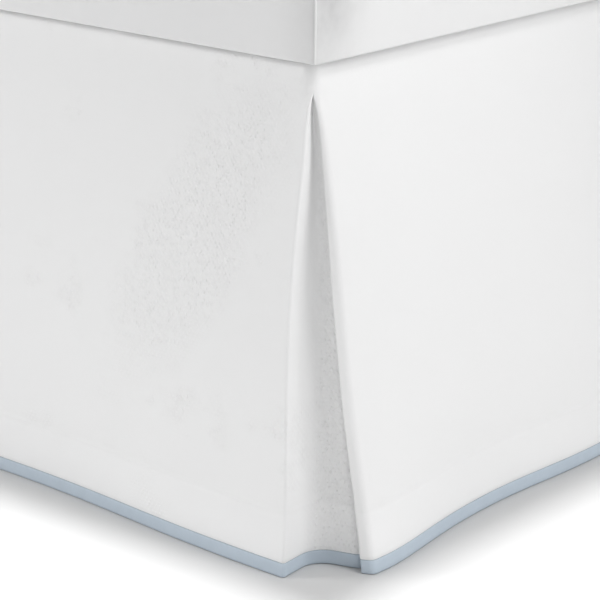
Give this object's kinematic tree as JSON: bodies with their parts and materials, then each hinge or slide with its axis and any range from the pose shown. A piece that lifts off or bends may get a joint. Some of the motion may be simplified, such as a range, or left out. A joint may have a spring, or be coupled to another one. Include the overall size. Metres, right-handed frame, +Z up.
{
  "type": "bed skirt on a bed with base and mattress",
  "caption": "Tailored white bed skirt with inverted corner pleats and a pale blue tape trim, hung between the base and the mattress of a plain bed.",
  "frame": {"origin": "centre of the whole footprint, on the floor that the legs stand on", "axes": "+Z up, +Y from the foot of the bed to its open head, +X to the right of someone who looks from the foot"},
  "size_m": [1.5668, 2.0376, 0.6368],
  "materials": {
    "pique_cloth": "matt white cotton with a fine raised diamond weave",
    "trim_tape": "matt pale blue folded tape",
    "mattress_cover": "smooth white fitted cover",
    "base_cloth": "plain off-white base cloth",
    "leg_wood": "satin wood"
  },
  "bodies": {
    "root": {"skirt_deck": "pique_cloth", "skirt_drop_foot": "pique_cloth", "skirt_drop_left": "pique_cloth", "skirt_drop_right": "pique_cloth", "trim_tape_foot": "trim_tape", "trim_tape_left": "trim_tape", "trim_tape_right": "trim_tape", "mattress": "mattress_cover", "bed_base": "base_cloth", "leg_left_1": "leg_wood", "leg_left_2": "leg_wood", "leg_left_3": "leg_wood", "leg_right_1": "leg_wood", "leg_right_2": "leg_wood", "leg_right_3": "leg_wood"}
  },
  "joints": []
}
